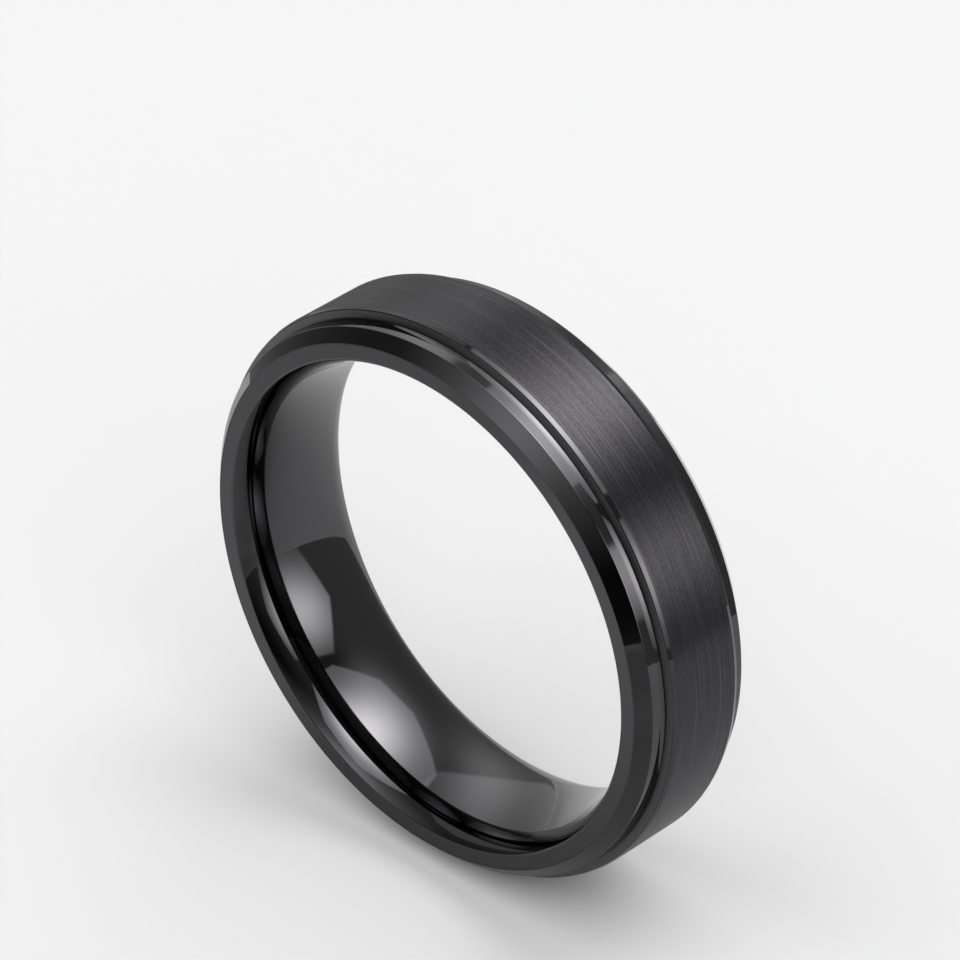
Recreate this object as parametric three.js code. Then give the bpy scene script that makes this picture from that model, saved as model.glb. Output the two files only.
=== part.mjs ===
// Stepped wedding band with a brushed centre, built as a stacked ring.
//
// Millimetres, +Z up. The band stands on its rim: the finger hole runs along Y, the front face
// looks towards -Y, and the origin is the centre of the hole. A comfort-fit sleeve carries a
// raised centre band, and a polished shoulder ring on each side holds the centre band in place.

import * as THREE from 'three';

// Overall size
const OUTER_RADIUS = 12.2;
const HALF_WIDTH = 3.0;
const BORE_RADIUS = 9.82; // at the middle of the bore, its tightest place

// Comfort-fit sleeve: in section the bore is a wide crown, a tighter shoulder and a small edge
const SLEEVE_RADIUS = 11.2;
const CROWN_ARC_RADIUS = 7.8;
const CROWN_HALF_WIDTH = 2.15; // where the crown gives way to the shoulder
const SHOULDER_ARC_RADIUS = 2.5;
const EDGE_ARC_RADIUS = 0.15;
const SLEEVE_CORNER = 0.03;

// Raised centre band
const BRUSHED_HALF_WIDTH = 1.6;
const STEP_HALF_WIDTH = 1.8;
const BEVEL_DROP = 0.07;

// Shoulder rings
const LEDGE_RADIUS_AT_CHAMFER = 11.732;
const LEDGE_RADIUS_AT_COVE = 11.75;
const COVE_START = 2.17; // where a cove begins to lift the ledge towards the step
const COVE_RADIUS = 1.0;
const CHAMFER_START = 2.5; // distance of the chamfer's outer edge from the middle plane
const CHAMFER_LAND = 0.03; // flat rim between the chamfer and the sleeve

// Pressed joints are left this far apart, so that the solids never overlap
const FIT_GAP = 0.03;

// Facets around the ring, and steps along the rounded stretches of the sections
const SEGMENTS = 96;
const BORE_ARC_STEPS = 4;
const COVE_STEPS = 3;

// Flats, not corners, lie on the true radius, so the ring rests on a flat and keeps its full bore
const HALF_FACET = Math.PI / SEGMENTS;
const CORNER_FACTOR = 1 / Math.cos(HALF_FACET);

const MATERIALS = {
  polished: { color: 0x4e4d4f, roughness: 0.05, metalness: 1.0 },
  brushed: { color: 0x454447, roughness: 0.38, metalness: 1.0 },
};

// A section point: distance from the ring's axis, and position along it
function at(radius, along) {
  return new THREE.Vector2(radius, along);
}

// The same points on the other side of the middle plane, in reverse order
function mirrored(points) {
  return points.map((point) => at(point.x, -point.y)).reverse();
}

// Points on a circular arc, ends included; angles are measured from the outward direction
function arc(centre, radius, startAngle, endAngle, steps) {
  const points = [];
  for (let step = 0; step <= steps; step += 1) {
    const angle = startAngle + ((endAngle - startAngle) * step) / steps;
    points.push(at(centre.x + radius * Math.cos(angle), centre.y + radius * Math.sin(angle)));
  }
  return points;
}

// A section point moved by a distance in the direction of an angle
function moved(point, distance, angle) {
  return at(point.x + distance * Math.cos(angle), point.y + distance * Math.sin(angle));
}

// Spins a closed section around the Y axis
function ring(name, section, finish) {
  const corners = section.map((point) => at(point.x * CORNER_FACTOR, point.y));
  corners.push(corners[0].clone());
  const geometry = new THREE.LatheGeometry(corners, SEGMENTS, HALF_FACET, 2 * Math.PI);
  const mesh = new THREE.Mesh(geometry, new THREE.MeshStandardMaterial(MATERIALS[finish]));
  mesh.name = name;
  return mesh;
}

// Liner: a bore of three arcs that flow into each other, flat end faces and a plain outside
function sleeveSection() {
  // The sine of the bore's slope is how far an arc has run along the band over its radius
  const crownEndSine = CROWN_HALF_WIDTH / CROWN_ARC_RADIUS;
  const shoulderCentreAlong = CROWN_HALF_WIDTH - SHOULDER_ARC_RADIUS * crownEndSine;
  const edgeCentreAlong = HALF_WIDTH - EDGE_ARC_RADIUS;
  const centreDistance = SHOULDER_ARC_RADIUS - EDGE_ARC_RADIUS;
  const shoulderEndSine = (edgeCentreAlong - shoulderCentreAlong) / centreDistance;
  const crownEnd = Math.PI - Math.asin(crownEndSine);
  const shoulderEnd = Math.PI - Math.asin(shoulderEndSine);

  const crownCentre = at(BORE_RADIUS + CROWN_ARC_RADIUS, 0);
  const shoulderCentre = moved(crownCentre, CROWN_ARC_RADIUS - SHOULDER_ARC_RADIUS, crownEnd);
  const edgeCentre = moved(shoulderCentre, centreDistance, shoulderEnd);

  const crown = arc(crownCentre, CROWN_ARC_RADIUS, Math.PI, crownEnd, BORE_ARC_STEPS);
  const shoulder = arc(shoulderCentre, SHOULDER_ARC_RADIUS, crownEnd, shoulderEnd, BORE_ARC_STEPS);
  const edge = arc(edgeCentre, EDGE_ARC_RADIUS, shoulderEnd, Math.PI / 2, BORE_ARC_STEPS);
  const rearHalf = [
    ...crown,
    ...shoulder.slice(1),
    ...edge.slice(1),
    at(SLEEVE_RADIUS - SLEEVE_CORNER, HALF_WIDTH),
    at(SLEEVE_RADIUS, HALF_WIDTH - SLEEVE_CORNER),
  ];
  // Around the section: front outside corner, rear outside corner, then back through the bore
  return [...mirrored(rearHalf.slice(1)), ...rearHalf].reverse();
}

// Raised hoop: upright step walls, a shallow bevel on each side and the brushed flat
function centreBandSection() {
  const innerRadius = SLEEVE_RADIUS + FIT_GAP;
  const rearHalf = [
    at(OUTER_RADIUS, BRUSHED_HALF_WIDTH),
    at(OUTER_RADIUS - BEVEL_DROP, STEP_HALF_WIDTH),
    at(innerRadius, STEP_HALF_WIDTH),
  ];
  return [...mirrored(rearHalf), ...rearHalf];
}

// Shoulder ring on the rear side: ledge with its cove, wide chamfer and a narrow rim
function rearShoulderSection() {
  const innerRadius = SLEEVE_RADIUS + FIT_GAP;
  const stepSide = STEP_HALF_WIDTH + FIT_GAP;
  const coveCentre = at(LEDGE_RADIUS_AT_COVE + COVE_RADIUS, COVE_START);
  const coveTurn = Math.asin((COVE_START - stepSide) / COVE_RADIUS);
  return [
    at(innerRadius, stepSide),
    ...arc(coveCentre, COVE_RADIUS, Math.PI + coveTurn, Math.PI, COVE_STEPS),
    at(LEDGE_RADIUS_AT_CHAMFER, CHAMFER_START),
    at(innerRadius + CHAMFER_LAND, HALF_WIDTH),
    at(innerRadius, HALF_WIDTH),
  ];
}

const band = new THREE.Group();
band.add(ring('comfort_fit_sleeve', sleeveSection(), 'polished'));
band.add(ring('brushed_centre_band', centreBandSection(), 'brushed'));
band.add(ring('rear_edge_ring', rearShoulderSection(), 'polished'));
band.add(ring('front_edge_ring', mirrored(rearShoulderSection()), 'polished'));

export default band;
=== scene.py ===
"""Looks of a stepped wedding band: finely turned surfaces, finishes, camera and studio light.

Metres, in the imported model's frame: +Z up, the finger hole runs along Y, the front face looks
towards -Y, and the origin is the centre of the hole.
"""
import math
import bpy
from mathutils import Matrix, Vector


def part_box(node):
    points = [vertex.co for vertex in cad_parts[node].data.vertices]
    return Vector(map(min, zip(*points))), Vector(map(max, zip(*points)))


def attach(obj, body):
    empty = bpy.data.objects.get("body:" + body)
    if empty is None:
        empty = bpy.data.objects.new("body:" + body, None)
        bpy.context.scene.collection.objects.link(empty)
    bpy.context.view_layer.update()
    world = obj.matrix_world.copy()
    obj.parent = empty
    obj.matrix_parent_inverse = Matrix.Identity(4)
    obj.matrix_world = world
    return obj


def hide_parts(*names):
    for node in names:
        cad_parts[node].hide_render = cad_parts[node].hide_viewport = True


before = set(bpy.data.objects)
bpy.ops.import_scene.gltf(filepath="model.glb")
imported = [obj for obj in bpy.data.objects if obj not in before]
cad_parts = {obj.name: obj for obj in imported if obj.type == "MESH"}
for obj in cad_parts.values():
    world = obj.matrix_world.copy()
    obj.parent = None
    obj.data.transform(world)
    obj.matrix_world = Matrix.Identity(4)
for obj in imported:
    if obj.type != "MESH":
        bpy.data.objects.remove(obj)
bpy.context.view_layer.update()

MM = 0.001

# ---------------------------------------------------------------------------
# Sizes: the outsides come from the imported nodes, the rest from the same design
# ---------------------------------------------------------------------------
OUTER_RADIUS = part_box("brushed_centre_band")[1].z
STEP_HALF_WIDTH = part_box("brushed_centre_band")[1].y
SLEEVE_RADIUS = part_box("comfort_fit_sleeve")[1].z
HALF_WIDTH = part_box("comfort_fit_sleeve")[1].y
BRUSHED_HALF_WIDTH = 1.6 * MM
BEVEL_DROP = 0.07 * MM
BORE_RADIUS = 9.82 * MM
CROWN_ARC_RADIUS = 7.8 * MM
CROWN_HALF_WIDTH = 2.15 * MM
SHOULDER_ARC_RADIUS = 2.5 * MM
EDGE_ARC_RADIUS = 0.15 * MM
SEAM_GAP = 0.004 * MM  # between the sleeve and the rings on it, as tight as the seam looks
GROOVE_WIDTH = 0.06 * MM  # between the step's wall and the ledge
LEDGE_RADIUS_AT_CHAMFER = 11.732 * MM
LEDGE_RADIUS_AT_COVE = 11.756 * MM
COVE_START = 2.17 * MM
COVE_RADIUS = 1.0 * MM
CHAMFER_START = 2.5 * MM
CHAMFER_LAND = 0.03 * MM

SEGMENTS = 360


# ---------------------------------------------------------------------------
# Sections: counter-clockwise outlines of (place, outward direction), each a run of arcs
# ---------------------------------------------------------------------------
def direction(angle):
    return Vector((math.cos(angle), math.sin(angle)))


def arc(centre, radius, start, end, steps):
    """An arc whose outward directions turn from the start angle to the end angle."""
    made = []
    for step in range(steps + 1):
        outward = direction(start + (end - start) * step / steps)
        made.append((centre + outward * radius, outward))
    return made


def fillet(before, corner, after, radius, steps=4):
    """A corner between two straight sides, inside or outside, rounded to a radius."""
    incoming = (corner - before).normalized()
    outgoing = (after - corner).normalized()
    turn = math.atan2(incoming.cross(outgoing), incoming.dot(outgoing))
    radius = math.copysign(radius, turn)
    start = math.atan2(-incoming.x, incoming.y)
    touch = corner - incoming * radius * math.tan(turn / 2)
    return arc(touch - direction(start) * radius, radius, start, start + turn, steps)


def rounded(corners):
    """A closed outline from (place, radius, steps) corners."""
    made = []
    for index, (place, radius, steps) in enumerate(corners):
        following = corners[(index + 1) % len(corners)][0]
        made += fillet(corners[index - 1][0], place, following, radius, steps)
    return made


def mirrored(section):
    """The same run of points on the other side of the middle plane."""
    return [(Vector((place.x, -place.y)), Vector((outward.x, -outward.y)))
            for place, outward in reversed(section)]


def sleeve_section():
    crown_end_sine = CROWN_HALF_WIDTH / CROWN_ARC_RADIUS
    shoulder_centre_along = CROWN_HALF_WIDTH - SHOULDER_ARC_RADIUS * crown_end_sine
    centre_distance = SHOULDER_ARC_RADIUS - EDGE_ARC_RADIUS
    shoulder_end_sine = (HALF_WIDTH - EDGE_ARC_RADIUS - shoulder_centre_along) / centre_distance
    crown_end = math.pi - math.asin(crown_end_sine)
    shoulder_end = math.pi - math.asin(shoulder_end_sine)
    crown_centre = Vector((BORE_RADIUS + CROWN_ARC_RADIUS, 0))
    shoulder_centre = crown_centre + direction(crown_end) * (CROWN_ARC_RADIUS - SHOULDER_ARC_RADIUS)
    edge_centre = shoulder_centre + direction(shoulder_end) * centre_distance

    outside = Vector((SLEEVE_RADIUS, HALF_WIDTH))
    rear = fillet(Vector((SLEEVE_RADIUS, 0)), outside, Vector((BORE_RADIUS, HALF_WIDTH)), 0.006 * MM)
    rear += arc(edge_centre, EDGE_ARC_RADIUS, math.pi / 2, shoulder_end, 10)
    rear += arc(shoulder_centre, SHOULDER_ARC_RADIUS, shoulder_end, crown_end, 12)[1:]
    rear += arc(crown_centre, CROWN_ARC_RADIUS, crown_end, math.pi, 12)[1:]
    return rear[:-1] + mirrored(rear)


def centre_band_section():
    inner = SLEEVE_RADIUS + SEAM_GAP
    rear = [
        (Vector((OUTER_RADIUS, BRUSHED_HALF_WIDTH)), 0.03 * MM, 4),
        (Vector((OUTER_RADIUS - BEVEL_DROP, STEP_HALF_WIDTH)), 0.06 * MM, 6),
        (Vector((inner, STEP_HALF_WIDTH)), 0.02 * MM, 2),
    ]
    front = [(Vector((place.x, -place.y)), radius, steps) for place, radius, steps in reversed(rear)]
    return rounded(rear + front)


def shoulder_section():
    """The rear shoulder ring, whose ledge curves up to the step; the front one is its mirror image."""
    inner = SLEEVE_RADIUS + SEAM_GAP
    step_side = STEP_HALF_WIDTH + GROOVE_WIDTH
    cove_turn = math.asin((COVE_START - step_side) / COVE_RADIUS)
    cove_top = LEDGE_RADIUS_AT_COVE + COVE_RADIUS * (1 - math.cos(cove_turn))
    cove_middle = COVE_START - COVE_RADIUS * math.tan(cove_turn / 2)
    return rounded([
        (Vector((inner, step_side)), 0.02 * MM, 2),
        (Vector((cove_top, step_side)), 0.03 * MM, 6),
        (Vector((LEDGE_RADIUS_AT_COVE, cove_middle)), 0.8 * COVE_RADIUS, 14),
        (Vector((LEDGE_RADIUS_AT_CHAMFER, CHAMFER_START)), 0.07 * MM, 6),
        (Vector((inner + CHAMFER_LAND, HALF_WIDTH)), 0.01 * MM, 2),
        (Vector((inner, HALF_WIDTH)), 0.004 * MM, 2),
    ])


def turned(name, section):
    """A ring of revolution about the Y axis, with exact normals so that its polish reflects cleanly."""
    count = len(section)
    places = []
    normals = []
    for segment in range(SEGMENTS):
        turn = direction(2 * math.pi * segment / SEGMENTS)
        for place, outward in section:
            places.append((place.x * turn.x, place.y, place.x * turn.y))
            normals.append((outward.x * turn.x, outward.y, outward.x * turn.y))
    faces = []
    for segment in range(SEGMENTS):
        here = segment * count
        there = (segment + 1) % SEGMENTS * count
        for index in range(count):
            following = (index + 1) % count
            faces.append((here + index, here + following, there + following, there + index))
    mesh = bpy.data.meshes.new(name)
    mesh.from_pydata(places, [], faces)
    mesh.shade_smooth()
    mesh.normals_split_custom_set_from_vertices(normals)
    made = bpy.data.objects.new(name, mesh)
    bpy.context.scene.collection.objects.link(made)
    return made


sleeve = turned("comfort_fit_sleeve_fine", sleeve_section())
centre_band = turned("brushed_centre_band_fine", centre_band_section())
rear_ring = turned("rear_edge_ring_fine", shoulder_section())
front_ring = turned("front_edge_ring_fine", mirrored(shoulder_section()))


# ---------------------------------------------------------------------------
# Camera: its angles, distance and aim were fitted to the edges of the real band, for a chosen lens
# ---------------------------------------------------------------------------
CAMERA_AZIMUTH = math.radians(44.0)
CAMERA_ELEVATION = math.radians(34.1)
CAMERA_LENS = 225.0
CAMERA_DISTANCE = 19.21 * OUTER_RADIUS
AIM_RIGHT = 0.016 * OUTER_RADIUS
AIM_UP = 0.3143 * OUTER_RADIUS


def make_camera():
    back = Vector((
        math.sin(CAMERA_AZIMUTH) * math.cos(CAMERA_ELEVATION),
        -math.cos(CAMERA_AZIMUTH) * math.cos(CAMERA_ELEVATION),
        math.sin(CAMERA_ELEVATION),
    ))
    right = Vector((math.cos(CAMERA_AZIMUTH), math.sin(CAMERA_AZIMUTH), 0))
    up = back.cross(right)
    data = bpy.data.cameras.new("camera")
    data.lens = CAMERA_LENS
    data.sensor_width = 36.0
    data.clip_start = 0.01
    data.clip_end = 10.0
    camera = bpy.data.objects.new("camera", data)
    camera.location = right * AIM_RIGHT + up * AIM_UP + back * CAMERA_DISTANCE
    camera.rotation_mode = "QUATERNION"
    camera.rotation_quaternion = (-back).to_track_quat("-Z", "Y")
    bpy.context.scene.collection.objects.link(camera)
    bpy.context.scene.camera = camera


make_camera()


# ---------------------------------------------------------------------------
# Node helpers
# ---------------------------------------------------------------------------
def add(tree, kind, **settings):
    made = tree.nodes.new("ShaderNode" + kind)
    for name, value in settings.items():
        setattr(made, name, value)
    return made


def feed(tree, socket, value):
    """Links a socket, or sets it to a plain number, vector or colour."""
    if isinstance(value, bpy.types.NodeSocket):
        tree.links.new(value, socket)
    else:
        socket.default_value = value


def maths(tree, operation, *values):
    made = add(tree, "Math", operation=operation)
    for socket, value in zip(made.inputs, values):
        feed(tree, socket, value)
    return made.outputs[0]


def dot(tree, first, second):
    made = add(tree, "VectorMath", operation="DOT_PRODUCT")
    feed(tree, made.inputs[0], first)
    feed(tree, made.inputs[1], second)
    return made.outputs["Value"]


def ramped(tree, value, start, end, low, high, interpolation="SMOOTHSTEP"):
    made = add(tree, "MapRange", interpolation_type=interpolation)
    feed(tree, made.inputs["Value"], value)
    for name, number in (("From Min", start), ("From Max", end), ("To Min", low), ("To Max", high)):
        feed(tree, made.inputs[name], number)
    return made.outputs["Result"]


def mixed(tree, factor, first, second):
    made = add(tree, "Mix", data_type="RGBA")
    feed(tree, made.inputs["Factor"], factor)
    feed(tree, made.inputs["A"], first)
    feed(tree, made.inputs["B"], second)
    return made.outputs["Result"]


def new_material(name):
    made = bpy.data.materials.new(name)
    made.use_nodes = True
    return made, made.node_tree, made.node_tree.nodes["Principled BSDF"]


# ---------------------------------------------------------------------------
# Studio: two bright and two dim softboxes among soft glows and shades, far away all round.
# Azimuth 0 is behind the band, 90 on its right; a box's sizes are tangents of its view angles.
# Outlines were set one by one. The spots, spreads and levels of the first three boxes, and the first
# two glows, are rounded results of a least-squares fit to the real band's reflections, some of them
# changed since. The fourth box and the other glows were set one by one.
# ---------------------------------------------------------------------------
PALE = (0.87, 0.87, 0.88, 1.0)
ROOM_LEVEL = 0.3
LEAST_LEVEL = 0.03
LEAST_FACING = 0.05  # a softbox is cut off where a view turns further from it than this cosine
GLOWS = (
    dict(azimuth=-40, elevation=30, spread=15, level=0.85),
    dict(azimuth=24, elevation=64, spread=16, level=3.8),
    dict(azimuth=150, elevation=20, spread=50, level=-0.35),
    dict(azimuth=62, elevation=46, spread=12, level=-0.25),
    dict(azimuth=-112, elevation=20, spread=34, level=-0.16),
)
SOFTBOXES = (
    dict(azimuth=46, elevation=90, middle=(0.0, -0.36), half=(0.66, 0.65), slant=1.0, cut=1.52, edge=0.03,
         spot=(0.11, -0.24), spread=(0.3, 0.3), rim_level=1.0, spot_level=8.0),
    dict(azimuth=75, elevation=15, middle=(0.09, 0.0), half=(0.53, 0.44), slant=0.4, cut=1.0, edge=0.04,
         spot=(0.02, 0.06), spread=(0.4, 0.26), rim_level=0.3, spot_level=4.7),
    dict(azimuth=-50, elevation=30, middle=(-0.4, -0.05), half=(0.52, 0.75), slant=1.0, cut=1.7, edge=0.04,
         spot=(-0.15, 0.15), spread=(0.35, 0.3), rim_level=0.3, spot_level=1.1),
    dict(azimuth=178, elevation=35, middle=(0.06, 0.3), half=(0.66, 0.65), slant=1.0, cut=1.5, edge=0.6,
         spot=(0.0, 0.3), spread=(0.3, 0.35), rim_level=0.4, spot_level=1.7),
)


def towards(azimuth, elevation):
    level = math.cos(math.radians(elevation))
    return Vector((
        level * math.sin(math.radians(azimuth)),
        level * math.cos(math.radians(azimuth)),
        math.sin(math.radians(elevation)),
    ))


def glow(tree, looking, azimuth, elevation, spread, level):
    """A soft round patch of light, or of shade where its level is negative."""
    nearness = dot(tree, looking, towards(azimuth, elevation))
    fall = maths(tree, "DIVIDE", maths(tree, "SUBTRACT", nearness, 1.0), 1 - math.cos(math.radians(spread)))
    return maths(tree, "MULTIPLY", maths(tree, "EXPONENT", fall), level)


def softbox(tree, looking, azimuth, elevation, middle, half, slant, cut, edge,
            spot, spread, rim_level, spot_level):
    """A panel with cut corners and a bright spot behind its cloth."""
    centre = towards(azimuth, elevation)
    right = Vector((math.cos(math.radians(azimuth)), -math.sin(math.radians(azimuth)), 0))
    up = right.cross(centre)
    facing = dot(tree, looking, centre)
    depth = maths(tree, "MAXIMUM", facing, LEAST_FACING)
    outside = []
    fall = []
    for axis, place, size, spot_place, spot_size in zip((right, up), middle, half, spot, spread):
        across = maths(tree, "DIVIDE", dot(tree, looking, axis), depth)
        offset = maths(tree, "ABSOLUTE", maths(tree, "SUBTRACT", across, place))
        outside.append(maths(tree, "DIVIDE", offset, size))
        from_spot = maths(tree, "DIVIDE", maths(tree, "SUBTRACT", across, spot_place), spot_size)
        fall.append(maths(tree, "MULTIPLY", from_spot, from_spot))
    corner = maths(tree, "DIVIDE", maths(tree, "MULTIPLY_ADD", outside[1], slant, outside[0]), cut)
    reach = maths(tree, "MAXIMUM", maths(tree, "MAXIMUM", outside[0], outside[1]), corner)
    inside = ramped(tree, reach, 1 - edge, 1 + edge, 1.0, 0.0)
    inside = maths(tree, "MULTIPLY", inside, maths(tree, "GREATER_THAN", facing, LEAST_FACING))
    bright = maths(tree, "EXPONENT", maths(tree, "MULTIPLY", maths(tree, "ADD", fall[0], fall[1]), -1.0))
    level = maths(tree, "MULTIPLY_ADD", bright, spot_level - rim_level, rim_level)
    return maths(tree, "MULTIPLY", inside, level)


def make_studio():
    world = bpy.data.worlds.new("studio")
    world.use_nodes = True
    tree = world.node_tree
    looking = add(tree, "TexCoord").outputs["Generated"]
    level = ROOM_LEVEL
    for patch in GLOWS:
        level = maths(tree, "ADD", glow(tree, looking, **patch), level)
    level = maths(tree, "MAXIMUM", level, LEAST_LEVEL)
    for box in SOFTBOXES:
        level = maths(tree, "ADD", softbox(tree, looking, **box), level)
    seen = mixed(tree, add(tree, "LightPath").outputs["Is Camera Ray"], level, PALE)
    feed(tree, tree.nodes["Background"].inputs["Color"], seen)
    bpy.context.scene.world = world
    world.cycles_visibility.diffuse = False


make_studio()


# ---------------------------------------------------------------------------
# Lamps: they light the matt floor, and the metal mirrors only the studio above.
# Their directions are the best found by a search for the real shadow's tones; the powers started
# from that search and were then set one by one.
# ---------------------------------------------------------------------------
LAMP_DISTANCE = 1.2
LAMPS = (
    dict(name="wide_fill", azimuth=0, elevation=90, side=10.0, power=261.0),
    dict(name="back_top", azimuth=0, elevation=65, side=1.0, power=7.3),
    dict(name="front_left", azimuth=210, elevation=50, side=1.2, power=6.3),
    dict(name="front_right", azimuth=120, elevation=35, side=1.2, power=8.3),
)


def make_lamps():
    for lamp in LAMPS:
        data = bpy.data.lights.new(lamp["name"], "AREA")
        data.size = lamp["side"]
        data.energy = lamp["power"]
        made = bpy.data.objects.new(lamp["name"], data)
        outward = towards(lamp["azimuth"], lamp["elevation"])
        made.location = outward * LAMP_DISTANCE
        made.rotation_euler = outward.to_track_quat("Z", "Y").to_euler()
        made.visible_camera = False
        made.visible_glossy = False
        bpy.context.scene.collection.objects.link(made)


make_lamps()


# ---------------------------------------------------------------------------
# Floor: one wide pale sheet that reflections don't see, and a disc that only reflections see.
# The disc's shades were placed to match how dark the floor looks in the real polish.
# ---------------------------------------------------------------------------
FLOOR_COLOUR = (0.555, 0.555, 0.56, 1.0)
FLOOR_HALF = 3.0
MIRRORED_MIDDLE = Vector((8 * MM, -32 * MM))
MIRRORED_RADIUS = 78 * MM
MIRRORED_SEGMENTS = 96
MIRRORED_LIFT = 0.002 * MM
SHADE_CORE = 0.3  # a shade is at its full depth within this part of its radius
SHADE_REACH = 1.6  # and it has faded out at this part
# Painted shade: each entry darkens the mirrored disc's colour around a place, so the polish mirrors shade
# there
PAINTED_SHADES = (
    dict(place=(50 * MM, -38 * MM), radius=45 * MM, depth=0.6),
    dict(place=(17 * MM, -8 * MM), radius=11 * MM, depth=0.3),
    dict(place=(-26 * MM, -30 * MM), radius=14 * MM, depth=0.25),
    dict(place=(-2 * MM, -3 * MM), radius=9 * MM, depth=0.34),
    dict(place=(-28 * MM, 11 * MM), radius=20 * MM, depth=0.4),
)


def floor_sheet(name, outline, height):
    mesh = bpy.data.meshes.new(name)
    mesh.from_pydata([(x, y, height) for x, y in outline], [], [tuple(range(len(outline)))])
    made = bpy.data.objects.new(name, mesh)
    bpy.context.scene.collection.objects.link(made)
    return made


def make_floor():
    wide = floor_sheet("floor", [(-FLOOR_HALF, -FLOOR_HALF), (FLOOR_HALF, -FLOOR_HALF),
                                 (FLOOR_HALF, FLOOR_HALF), (-FLOOR_HALF, FLOOR_HALF)], -OUTER_RADIUS)
    material, tree, surface = new_material("floor_pale")
    surface.inputs["Base Color"].default_value = FLOOR_COLOUR
    surface.inputs["Roughness"].default_value = 1.0
    surface.inputs["Specular IOR Level"].default_value = 0.0
    wide.data.materials.append(material)
    wide.visible_glossy = False

    turns = [2 * math.pi * step / MIRRORED_SEGMENTS for step in range(MIRRORED_SEGMENTS)]
    circle = [MIRRORED_MIDDLE + direction(turn) * MIRRORED_RADIUS for turn in turns]
    near = floor_sheet("mirrored_floor", circle, -OUTER_RADIUS + MIRRORED_LIFT)
    material, tree, surface = new_material("mirrored_floor_painted_shade")
    place = add(tree, "TexCoord").outputs["Object"]
    colour = FLOOR_COLOUR
    for shade in PAINTED_SHADES:
        away = add(tree, "VectorMath", operation="DISTANCE")
        feed(tree, away.inputs[0], place)
        feed(tree, away.inputs[1], (*shade["place"], -OUTER_RADIUS))
        core = SHADE_CORE * shade["radius"]
        reach = SHADE_REACH * shade["radius"]
        # painted shade, mixed into the disc's pale colour towards black
        painted_shade = ramped(tree, away.outputs["Value"], core, reach, shade["depth"], 0.0)
        colour = mixed(tree, painted_shade, colour, (0.0, 0.0, 0.0, 1.0))
    feed(tree, surface.inputs["Base Color"], colour)
    surface.inputs["Roughness"].default_value = 1.0
    surface.inputs["Specular IOR Level"].default_value = 0.0
    near.data.materials.append(material)
    near.visible_camera = False
    near.visible_diffuse = False
    near.visible_shadow = False
    near.visible_transmission = False


make_floor()


# ---------------------------------------------------------------------------
# Finishes
# ---------------------------------------------------------------------------
POLISHED_COLOUR = (0.076, 0.0745, 0.0775, 1.0)
BRUSHED_COLOUR = (0.056, 0.054, 0.0588, 1.0)
SATIN_COLOUR = (0.18, 0.178, 0.18, 1.0)
CLOUD_SIZE = (1.2 * MM, 1.2 * MM)  # around the band, and along it, here and below
GRAIN_SIZE = (0.12 * MM, 0.06 * MM)
LINE_SIZE = (3 * MM, 0.045 * MM)
SCRATCH_SIZE = (5 * MM, 0.055 * MM)
LINE_HEIGHT = 0.004 * MM
WALL_FACING = 0.97  # a face of the step that looks this squarely along the band is a wall


def scaled(colour, factor):
    return tuple(factor * part for part in colour[:3]) + (1.0,)


def stretched_noise(tree, place, size, detail):
    """Noise in features of a length around the band and a width along it."""
    length, width = size
    stretch = add(tree, "VectorMath", operation="MULTIPLY")
    feed(tree, stretch.inputs[0], place)
    feed(tree, stretch.inputs[1], (1 / length, 1 / width, 1 / length))
    noise = add(tree, "TexNoise")
    feed(tree, noise.inputs["Vector"], stretch.outputs[0])
    feed(tree, noise.inputs["Scale"], 1.0)
    feed(tree, noise.inputs["Detail"], detail)
    return noise.outputs["Fac"]


def spread_across_lines(tree, surface, amount):
    """Stretches the highlights across lines that run around the band."""
    tangent = add(tree, "Tangent", direction_type="RADIAL", axis="Y")
    feed(tree, surface.inputs["Tangent"], tangent.outputs[0])
    feed(tree, surface.inputs["Anisotropic"], amount)
    feed(tree, surface.inputs["Anisotropic Rotation"], 0.25)


def polished_finish():
    """Mirror polish with a faint cloudiness from the coating."""
    material, tree, surface = new_material("polished_black")
    place = add(tree, "TexCoord").outputs["Object"]
    cloud = stretched_noise(tree, place, CLOUD_SIZE, 2.0)
    feed(tree, surface.inputs["Base Color"], POLISHED_COLOUR)
    feed(tree, surface.inputs["Metallic"], 1.0)
    feed(tree, surface.inputs["Roughness"], ramped(tree, cloud, 0.3, 0.7, 0.03, 0.05))
    return material


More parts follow.
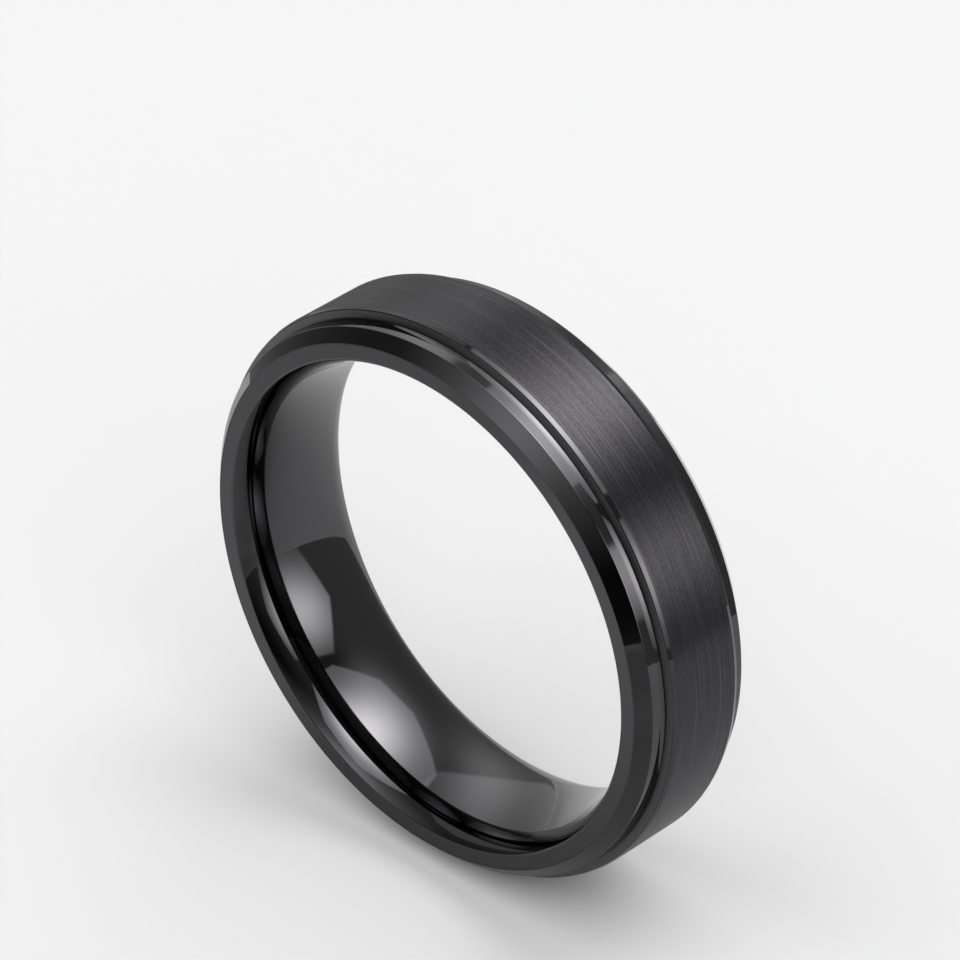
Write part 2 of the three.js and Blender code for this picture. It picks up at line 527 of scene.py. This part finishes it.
def brushed_finish():
    """Fine lines around the band, in the coating's colour."""
    material, tree, surface = new_material("brushed_black")
    place = add(tree, "TexCoord").outputs["Object"]
    grain = stretched_noise(tree, place, GRAIN_SIZE, 0.0)
    fine = stretched_noise(tree, place, LINE_SIZE, 0.0)
    scratch = stretched_noise(tree, place, SCRATCH_SIZE, 0.0)
    lines = maths(tree, "MULTIPLY_ADD", grain, 0.5, maths(tree, "MULTIPLY", fine, 0.5))
    darker = scaled(BRUSHED_COLOUR, 0.72)
    lighter = scaled(BRUSHED_COLOUR, 1.14)
    brightest = scaled(BRUSHED_COLOUR, 1.45)
    even = mixed(tree, ramped(tree, lines, 0.3, 0.7, 0, 1), darker, lighter)
    colour = mixed(tree, ramped(tree, scratch, 0.58, 0.78, 0, 1), even, brightest)
    feed(tree, surface.inputs["Base Color"], colour)
    feed(tree, surface.inputs["Metallic"], 1.0)
    feed(tree, surface.inputs["Roughness"], ramped(tree, fine, 0.3, 0.7, 0.32, 0.38))
    spread_across_lines(tree, surface, 0.9)
    bump = add(tree, "Bump")
    feed(tree, bump.inputs["Strength"], 0.25)
    feed(tree, bump.inputs["Distance"], LINE_HEIGHT)
    feed(tree, bump.inputs["Height"], lines)
    feed(tree, surface.inputs["Normal"], bump.outputs[0])
    return material


def satin_finish():
    """Fine-turned, unpolished walls of the step."""
    material, tree, surface = new_material("satin_black")
    feed(tree, surface.inputs["Base Color"], SATIN_COLOUR)
    feed(tree, surface.inputs["Metallic"], 1.0)
    feed(tree, surface.inputs["Roughness"], 0.5)
    spread_across_lines(tree, surface, 0.8)
    return material


polished = polished_finish()
brushed = brushed_finish()
satin = satin_finish()
for piece in (sleeve, rear_ring, front_ring):
    piece.data.materials.append(polished)

BAND_FINISHES = (brushed, polished, satin)
for finish in BAND_FINISHES:
    centre_band.data.materials.append(finish)
for face in centre_band.data.polygons:
    finish = brushed
    if abs(face.center.y) > BRUSHED_HALF_WIDTH:
        finish = satin if abs(face.normal.y) > WALL_FACING else polished
    face.material_index = BAND_FINISHES.index(finish)

bpy.context.scene.view_settings.view_transform = "Standard"

for piece, node in ((sleeve, "comfort_fit_sleeve"), (centre_band, "brushed_centre_band"),
                    (rear_ring, "rear_edge_ring"), (front_ring, "front_edge_ring")):
    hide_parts(node)
    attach(piece, "root")
